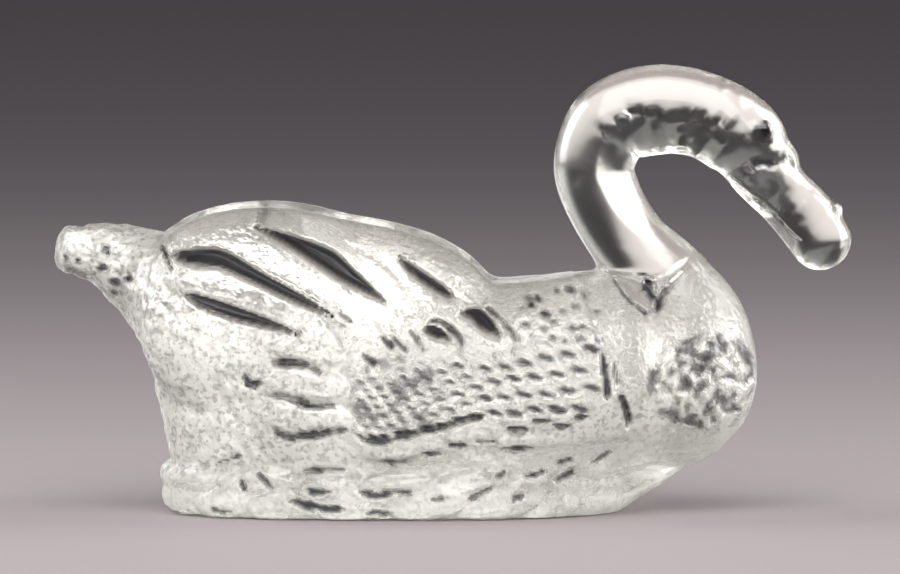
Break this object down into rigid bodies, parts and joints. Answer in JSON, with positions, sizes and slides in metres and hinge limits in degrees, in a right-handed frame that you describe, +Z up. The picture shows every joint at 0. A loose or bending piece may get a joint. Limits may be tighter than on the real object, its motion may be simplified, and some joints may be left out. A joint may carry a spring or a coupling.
{
  "type": "glass swan figurine",
  "caption": "Clear pressed-glass swan with an S-curved neck and folded, feathered wings, cast in one with the rippled water it rests on.",
  "frame": {"origin": "on the standing surface, below the middle of the swan's bounding box", "axes": "+X from the tail towards the bill, +Z up from the standing surface, Y across the swan's mirror plane"},
  "size_m": [0.1797, 0.0656, 0.1005],
  "materials": {
    "glass": "clear fire-polished pressed glass"
  },
  "bodies": {
    "root": {"swan": "glass"}
  },
  "joints": []
}
